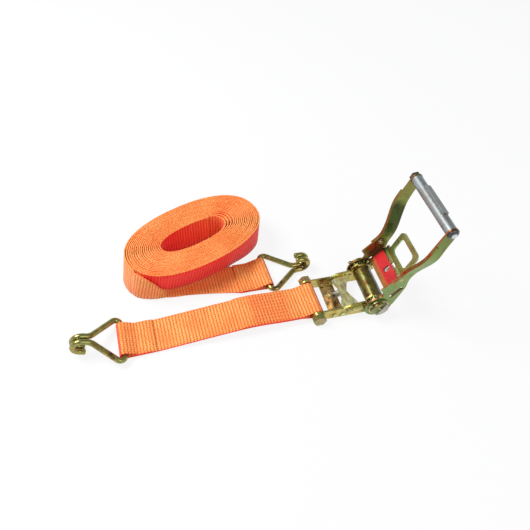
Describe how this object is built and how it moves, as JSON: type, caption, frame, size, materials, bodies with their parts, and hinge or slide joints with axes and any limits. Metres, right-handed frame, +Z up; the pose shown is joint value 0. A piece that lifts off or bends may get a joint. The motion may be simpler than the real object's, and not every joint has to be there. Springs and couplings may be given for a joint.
{
  "type": "ratchet tie down",
  "caption": "Ratchet tie down: buckle with slotted spool, pivoting handle and spring pawls, a short strap and a coiled long strap in orange webbing, each with a double wire hook",
  "frame": {"origin": "Underside of the frame's bottom web, midway between the side plates, on the floor", "axes": "+X from the strap bolt to the spool, +Y along the spool's axis, +Z up"},
  "size_m": [0.477, 0.2475, 0.1781],
  "materials": {
    "zinc_plate": "yellow zinc with green and red tints",
    "zinc_bright": "bright yellow zinc",
    "zinc_dark": "dark oiled zinc",
    "spool_steel": "grey steel",
    "green_hex": "green-tinted zinc",
    "spring_steel": "bare spring wire",
    "red_plate": "glossy red paint",
    "grip_metal": "satin",
    "black_bolt": "black, glossy",
    "webbing": "woven polyester webbing"
  },
  "bodies": {
    "base": {"base_plate_near": "zinc_plate", "base_plate_far": "zinc_plate", "spring_bracket": "zinc_dark", "bracket_rivets": "zinc_bright", "strap_bolt": "green_hex", "strap_bolt_nut": "green_hex", "strap_bolt_washers": "zinc_bright", "lock_spring": "spring_steel"},
    "lock": {"lock_plate": "zinc_bright"},
    "spool": {"spool_half_a": "zinc_bright", "spool_half_b": "spool_steel", "ratchet_wheel_near": "zinc_dark", "ratchet_wheel_far": "zinc_dark", "spool_washers": "zinc_bright", "spool_cotters": "zinc_dark"},
    "handle": {"handle_plate_near": "zinc_plate", "handle_plate_far": "zinc_plate", "handle_web": "red_plate", "web_rivets": "zinc_bright", "grip_tube": "grip_metal", "grip_bolt": "black_bolt", "grip_nut": "zinc_dark", "drive_spring": "spring_steel"},
    "pawl": {"drive_pawl": "zinc_plate"},
    "short_strap": {"short_strap": "webbing"},
    "short_hook": {"hook_short": "zinc_plate"},
    "long_strap": {"long_strap": "webbing", "strap_hank": "webbing"},
    "long_hook": {"hook_long": "zinc_plate"}
  },
  "joints": [
    {"name": "spool_spin", "type": "hinge", "parent": "base", "child": "spool", "pos_m": [0.052, 0, 0.02], "axis": [0, 1, 0], "continuous": true},
    {"name": "handle_swing", "type": "hinge", "parent": "base", "child": "handle", "pos_m": [0.052, 0, 0.02], "axis": [0, 1, 0], "range_deg": [-103.3, 69.2]},
    {"name": "lock_slide", "type": "slide", "parent": "base", "child": "lock", "axis": [0.9914, 0, 0.1305], "range_m": [-0.0025, 0.0043], "stiffness_N_per_m": 600, "deforming": ["lock_spring"]},
    {"name": "pawl_slide", "type": "slide", "parent": "handle", "child": "pawl", "axis": [-0.6088, 0, -0.7934], "range_m": [-0.0025, 0.0043], "stiffness_N_per_m": 600, "deforming": ["drive_spring"]},
    {"name": "short_strap_swing", "type": "hinge", "parent": "base", "child": "short_strap", "pos_m": [-0.029, 0, 0.009], "axis": [-0.0297, 0.9996, 0], "range_deg": [0, 20]},
    {"name": "short_hook_swing", "type": "hinge", "parent": "short_strap", "child": "short_hook", "pos_m": [-0.29288, -0.00783, 0.007], "axis": [-0.0297, 0.9996, 0], "range_deg": [0, 75]},
    {"name": "long_strap_slide", "type": "slide", "parent": "base", "child": "long_strap", "axis": [0, 1, 0], "range_m": [0, 0.15]},
    {"name": "long_hook_swing", "type": "hinge", "parent": "long_strap", "child": "long_hook", "pos_m": [-0.0815, 0.062, 0.007], "axis": [0.0523, -0.9986, 0], "range_deg": [0, 60]}
  ]
}
